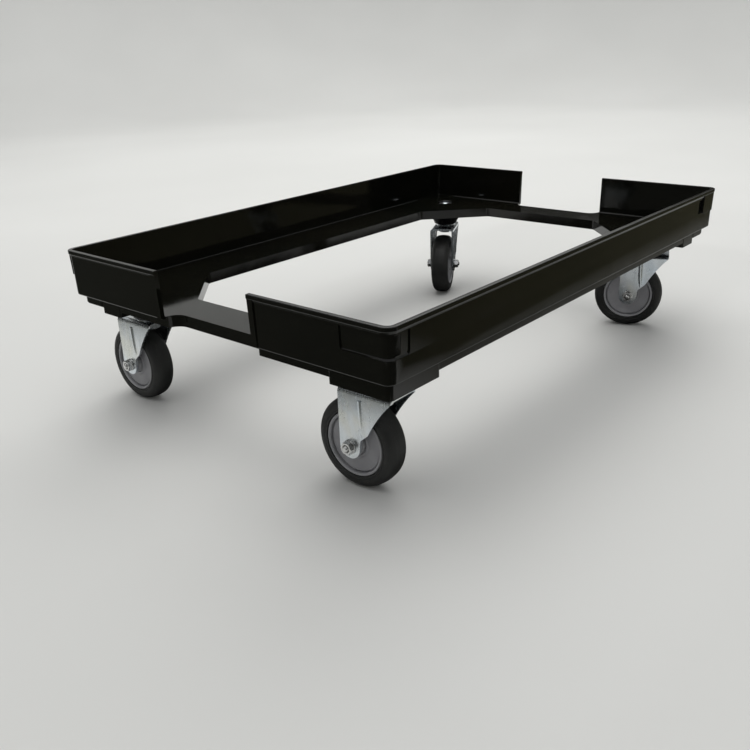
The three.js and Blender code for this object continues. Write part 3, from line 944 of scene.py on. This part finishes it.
def fork():
    low = WHEEL_RADIUS - LEG_HALF_WIDTH - 1
    start = -CROWN_LEAD - 2
    end = TRAIL + LEG_HALF_WIDTH + 2
    shell = prism("fork", folded_section(LEG_OUTSIDE, CROWN_TOP, BEND_RADIUS, low), start, end, "YZ")
    inner = folded_section(LEG_INSIDE, CROWN_UNDER, BEND_RADIUS - SHEET, low - 1)
    cut(shell, prism("fork_inside", inner, start - 1, end + 1, "YZ"))
    common(shell, prism("fork_side", fork_outline(), -LEG_OUTSIDE - 2, LEG_OUTSIDE + 2, "XZ"))
    plan = rounded([
        (-CROWN_LEAD - 0.5, -LEG_OUTSIDE - 3, 7),
        (end + 1, -LEG_OUTSIDE - 3, 0),
        (end + 1, LEG_OUTSIDE + 3, 0),
        (-CROWN_LEAD - 0.5, LEG_OUTSIDE + 3, 7),
    ], steps=8)
    common(shell, prism("fork_plan", plan, low - 5, CROWN_TOP + 8))
    race = turned("race", rounded([
        (0, CROWN_TOP - 1, 0),
        (13.3, CROWN_TOP - 1, 0),
        (13.3, CROWN_TOP + 0.8, 0.8),
        (12.2, RACE_TOP, 1),
        (0, RACE_TOP, 0),
    ]), 72)
    unite(shell, race, rib(1), rib(-1))
    cut(shell, turned("pin_hole", [
        (0, CROWN_UNDER - 1), (PIN_RADIUS + GAP, CROWN_UNDER - 1),
        (PIN_RADIUS + GAP, RACE_TOP + 1), (0, RACE_TOP + 1),
    ], 64))
    axle_hole = turned("axle_hole", [
        (0, -LEG_OUTSIDE - 1), (AXLE_RADIUS + GAP, -LEG_OUTSIDE - 1),
        (AXLE_RADIUS + GAP, LEG_OUTSIDE + 1), (0, LEG_OUTSIDE + 1),
    ], 40, "Y")
    axle_hole.data.transform(Matrix.Translation((TRAIL, 0, WHEEL_RADIUS)))
    cut(shell, axle_hole)
    return soften(shell, 0.4, angle=40)


# ------------------------------------------------------------------ axle and wheel, axle along Y

AXLE_NUT_ACROSS_FLATS = 10
NUT_HEIGHT = 5.2
SLEEVE_RADIUS = 5.5
NUT_FACE = LEG_OUTSIDE + GAP


def axle_bolt():
    top = NUT_FACE + NUT_HEIGHT
    head = hex_head(AXLE_NUT_ACROSS_FLATS, -top, -NUT_FACE, "Y")
    shank = thread(AXLE_RADIUS, -LEG_OUTSIDE - 1, top + 1.6, 1, "Y")
    return soften(unite(head, shank), 0.12, angle=40)


def axle_nut():
    top = NUT_FACE + NUT_HEIGHT
    nut = hex_head(AXLE_NUT_ACROSS_FLATS, NUT_FACE + 0.8, top, "Y")
    washer = turned("washer_face", rounded([
        (0, NUT_FACE, 0), (6.2, NUT_FACE, 0.2), (6.2, NUT_FACE + 1, 0.3), (0, NUT_FACE + 1, 0),
    ]), 48, "Y")
    hole = turned("bore", [
        (0, NUT_FACE - 1), (AXLE_RADIUS + GAP, NUT_FACE - 1), (AXLE_RADIUS + GAP, top - 0.5),
        (AXLE_RADIUS + 0.8, top + 0.1), (0, top + 0.1),
    ], 40, "Y")
    return soften(cut(unite(nut, washer), hole), 0.15, angle=40)


def axle_sleeve():
    half = LEG_INSIDE - GAP
    return turned("axle_sleeve", rounded([
        (AXLE_RADIUS + GAP, -half, 0.2),
        (SLEEVE_RADIUS, -half, 0.3),
        (SLEEVE_RADIUS, half, 0.3),
        (AXLE_RADIUS + GAP, half, 0.2),
    ]), 48, "Y")


def tyre_profile():
    """Half of the tyre's section, mirrored: bead, sidewall, round shoulder and nearly flat tread."""
    half = TYRE_WIDTH / 2
    upper = [
        (TYRE_INNER, half - 0.5),
        (TYRE_INNER + 0.5, half),
        (TYRE_INNER + 1.6, half),
        (TYRE_INNER + 2.0, half - 0.35),
        (TYRE_INNER + 2.6, half - 0.35),
        (TYRE_INNER + 3.0, half - 0.05),
    ]
    for i in range(13):
        angle = math.radians(90 - 90 * i / 12)
        upper.append((WHEEL_RADIUS - 7.2 + 6.8 * math.cos(angle), half - 7.0 + 6.95 * math.sin(angle)))
    upper.append((WHEEL_RADIUS - 0.12, 2.2))
    upper.append((WHEEL_RADIUS, 0.45))
    lower = [(radius, -y) for radius, y in upper]
    return lower + upper[::-1]


def tyre():
    return turned("tyre", tyre_profile(), 144, "Y")


def hub():
    ring = TYRE_WIDTH / 2 - 0.5
    boss = LEG_INSIDE - 0.8
    web = 6.5
    half = [
        (SLEEVE_RADIUS + GAP, boss, 0.3),
        (8.6, boss, 0.5),
        (10, boss - 3, 0.5),
        (10, web, 0.6),
        (26, web, 0.5),
        (26, ring - 0.9, 0.4),
        (26.9, ring, 0.5),
        (28.0, ring, 0.5),
        (HUB_RADIUS, ring - 0.8, 0.3),
    ]
    lower = [(radius, -y, fillet) for radius, y, fillet in half]
    return turned("hub", rounded(lower + half[::-1], 3), 112, "Y")


def hub_cover(side):
    low = 6.5 + GAP
    disc = turned("hub_cover", rounded([
        (10.3, low, 0.2),
        (25.4, low, 0.2),
        (25.4, low + 1.2, 0.5),
        (24.2, low + 1.75, 0.5),
        (13.4, low + 1.3, 1.2),
        (12.0, low + 2.2, 0.5),
        (10.3, low + 2.2, 0.4),
    ], 3), 112, "Y")
    return disc if side > 0 else mirrored_only(disc, 1)


def mirrored_only(obj, axis):
    copy = mirrored(obj, axis)
    bpy.data.objects.remove(obj)
    return copy


# ------------------------------------------------------------------ assembly


def caster_places(name):
    """Where a caster's swivel frame and wheel frame are, in metres."""
    swivel = Vector(JOINTS[f"{name}_swivel"]["pos_m"])
    axle = Vector(JOINTS[f"{name}_wheel_spin"]["pos_m"])
    trail = axle - swivel
    turn = Matrix.Rotation(math.atan2(trail.y, trail.x), 4, "Z")
    head = Matrix.Translation((swivel.x, swivel.y, 0))
    return head, head @ turn, Matrix.Translation(axle) @ turn


HEAD_PIECES = {
    "head_cup": (head_cup, "black_steel", BLACK_STEEL),
    "ball_ring": (ball_ring, "bearing_steel", STEEL),
    "kingpin": (kingpin, "zinc_plate", ZINC),
    "king_bolt": (king_bolt, "zinc_plate", ZINC),
    "deck_nut": (deck_nut, "black_steel", BLACK_STEEL),
}
FORK_PIECES = {
    "fork": (fork, "zinc_plate", ZINC),
}
AXLE_PIECES = {
    "axle_bolt": (axle_bolt, "bearing_steel", STEEL),
    "axle_nut": (axle_nut, "bearing_steel", STEEL),
    "axle_sleeve": (axle_sleeve, "bearing_steel", STEEL),
}
WHEEL_PIECES = {
    "tyre": (tyre, "grey_tyre", RUBBER),
    "hub": (hub, "hub_plastic", HUB_GREY),
    "hub_cover_outer": (lambda: hub_cover(1), "cover_plastic", COVER_GREY),
    "hub_cover_inner": (lambda: hub_cover(-1), "cover_plastic", COVER_GREY),
}


def build_casters():
    groups = (HEAD_PIECES, FORK_PIECES, AXLE_PIECES, WHEEL_PIECES)
    masters = {}
    for pieces in groups:
        for piece, (make, slot, material) in pieces.items():
            masters[piece] = (make(), slot, material)
    for name in CASTERS:
        head, swivel, wheel = caster_places(name)
        fork_body, wheel_body = f"caster_{name}", f"wheel_{name}"
        seats = ((head, "tray"), (swivel, fork_body), (wheel, fork_body), (wheel, wheel_body))
        for pieces, (place, body) in zip(groups, seats):
            for piece in pieces:
                master, slot, material = masters[piece]
                node = f"{name}_{piece}"
                settle(copy_of(master), f"{node}_shell", place, body, [node], material)
    for master, _, _ in masters.values():
        bpy.data.objects.remove(master)


tray()
build_casters()

# ------------------------------------------------------------------ stage, light and camera


def cyclorama():
    """Round floor that curves up into a low wall on every side."""
    radius, curve, height = 3.2, 1.6, 3.4
    profile = [(0.001, 0)] + [(radius * i / 12, 0) for i in range(1, 13)]
    profile += [(radius + x, curve + z) for x, z in arc((0, 0), curve, -85, 0, 17)]
    profile.append((radius + curve, height))
    bm = bmesh.new()
    segments = 96
    columns = []
    for i in range(segments):
        angle = 2 * math.pi * i / segments
        turn_x, turn_y = math.cos(angle), math.sin(angle)
        columns.append([bm.verts.new((r * turn_x, r * turn_y, z)) for r, z in profile])
    for i in range(segments):
        here, there = columns[i], columns[(i + 1) % segments]
        for j in range(len(profile) - 1):
            bm.faces.new((here[j], there[j], there[j + 1], here[j + 1]))
    bm.faces.new([column[0] for column in columns])
    floor = new_object("studio_floor", bm)
    floor.data.flip_normals()
    floor.data.polygons.foreach_set("use_smooth", [True] * len(floor.data.polygons))
    floor.data.materials.append(studio_floor())


def dark_card(name, low, high, colour, fade=0.035, lift=0.002):
    """Card on the floor that only reflections see, fading at its edges: a painted dark reflection that
    keeps gloss black deep.
    """
    (x0, y0), (x1, y1) = low, high
    half_x, half_y = (x1 - x0) / 2, (y1 - y0) / 2
    bm = bmesh.new()
    corners = ((-half_x, -half_y), (half_x, -half_y), (half_x, half_y), (-half_x, half_y))
    bm.faces.new([bm.verts.new((x, y, 0)) for x, y in corners])
    card = new_object(name, bm)
    card.location = ((x0 + x1) / 2, (y0 + y1) / 2, lift)
    n = Nodes(name)
    across = n.add("ShaderNodeSeparateXYZ")
    n.link(n.place, across.inputs[0])
    inside_x = n.math("SUBTRACT", half_x, n.math("ABSOLUTE", across.outputs[0], 0))
    inside_y = n.math("SUBTRACT", half_y, n.math("ABSOLUTE", across.outputs[1], 0))
    n.link(n.spread(n.math("MINIMUM", inside_x, inside_y), 0, fade, 0, 1), n.shader.inputs["Alpha"])
    # Painted reflection: the card's mottled dark colour is seen only mirrored in glossy surfaces,
    # never as a thing in the scene.
    reflection_mottle = n.noise(4, detail=5)
    dark, light = (tuple(share * value for value in colour) for share in (0.7, 1.3))
    n.colour(n.mix(reflection_mottle, dark, light))
    n.roughness(n.spread(reflection_mottle, 0.3, 0.7, 0.8, 0.95))
    n.bump((n.noise(300), 0.1, 0.001))
    card.data.materials.append(n.material)
    card.visible_camera = False
    card.visible_diffuse = False
    card.visible_shadow = False
    card.visible_transmission = False
    return card


def standing_card(name, size, place, heading, colour):
    """The same kind of card held upright, facing along a heading in degrees."""
    half_width, half_height = size[0] / 2, size[1] / 2
    card = dark_card(name, (-half_width, -half_height), (half_width, half_height), colour, 0.15)
    card.location = place
    card.rotation_euler = (math.radians(90), 0, math.radians(heading - 90))


def softbox(name, place, target, size, power, colour):
    data = bpy.data.lights.new(name, "AREA")
    data.shape = "RECTANGLE"
    data.size, data.size_y = size
    data.energy = power
    data.color = colour
    light = bpy.data.objects.new(name, data)
    light.location = place
    light.rotation_euler = (Vector(target) - Vector(place)).to_track_quat("-Z", "Y").to_euler()
    light.visible_camera = False
    bpy.context.scene.collection.objects.link(light)


def studio():
    world = bpy.data.worlds.new("studio")
    bpy.context.scene.world = world
    world.use_nodes = True
    sky = world.node_tree.nodes["Background"]
    sky.inputs["Color"].default_value = (0.95, 0.97, 1.0, 1)
    sky.inputs["Strength"].default_value = 0.5
    softbox("window", (2.4, 1.4, 2.6), (0, 0, 0.1), (2.8, 2.4), 40, (1.0, 1.0, 0.98))
    softbox("ceiling", (-0.2, 0.2, 3.3), (0, 0, 0), (3.4, 3.4), 56, (1.0, 0.99, 0.96))
    softbox("backdrop", (0.6, 0.6, 3.2), (3.8, 3.8, 1.3), (2.4, 2.4), 30, (1.0, 1.0, 0.98))
    # Painted reflections: cards seen only in gloss. Below the tray they stand for the lower dolly and
    # its shadow, at right for a darker olive floor, and elsewhere for the dark room.
    dark_card("card_below", (-0.28, -0.22), (0.70, 0.32), (0.012, 0.012, 0.010))
    dark_card("card_left", (-2.6, -0.5), (-0.385, 2.3), (0.055, 0.057, 0.044))
    dark_card("card_right", (-0.1, -2.4), (2.8, -0.27), (0.066, 0.061, 0.026), 0.14)
    dark_card("card_front", (-1.5, -1.5), (-0.06, -0.4), (0.03, 0.03, 0.026), lift=0.003)
    standing_card("card_behind", (3.4, 0.74), (2.3, 1.3, 0.44), 29.5, (0.03, 0.03, 0.027))
    standing_card("card_room", (4.2, 1.4), (-1.9, -1.7, 0.75), 221, (0.03, 0.03, 0.027))
    standing_card("card_beside", (3.6, 1.4), (2.0, -1.75, 0.8), -41, (0.03, 0.03, 0.027))
    standing_card("card_across", (3.6, 1.4), (-2.0, 1.75, 0.8), 139, (0.03, 0.03, 0.027))
    bpy.context.scene.view_settings.view_transform = "Standard"


CAMERA_PLACE = (-0.7055, -0.5482, 0.3500)
CAMERA_HEADING = 41.262
CAMERA_PITCH = -22.510
CAMERA_ROLL = -2.231
CAMERA_LENS = 39.75


def camera():
    """Camera on a tripod: heading from +X, pitch and a slight roll, in degrees."""
    heading, pitch, roll = (math.radians(a) for a in (CAMERA_HEADING, CAMERA_PITCH, CAMERA_ROLL))
    forward = Vector((
        math.cos(pitch) * math.cos(heading),
        math.cos(pitch) * math.sin(heading),
        math.sin(pitch),
    ))
    level = forward.cross(Vector((0, 0, 1))).normalized()
    upright = level.cross(forward)
    right = level * math.cos(roll) + upright * math.sin(roll)
    up = upright * math.cos(roll) - level * math.sin(roll)
    data = bpy.data.cameras.new("camera")
    data.lens = CAMERA_LENS
    data.sensor_width = 36
    data.clip_start = 0.01
    data.clip_end = 50
    cam = bpy.data.objects.new("camera", data)
    turn = Matrix((right, up, -forward)).transposed()
    cam.matrix_world = Matrix.Translation(CAMERA_PLACE) @ turn.to_4x4()
    bpy.context.scene.collection.objects.link(cam)
    bpy.context.scene.camera = cam


cyclorama()
studio()
camera()
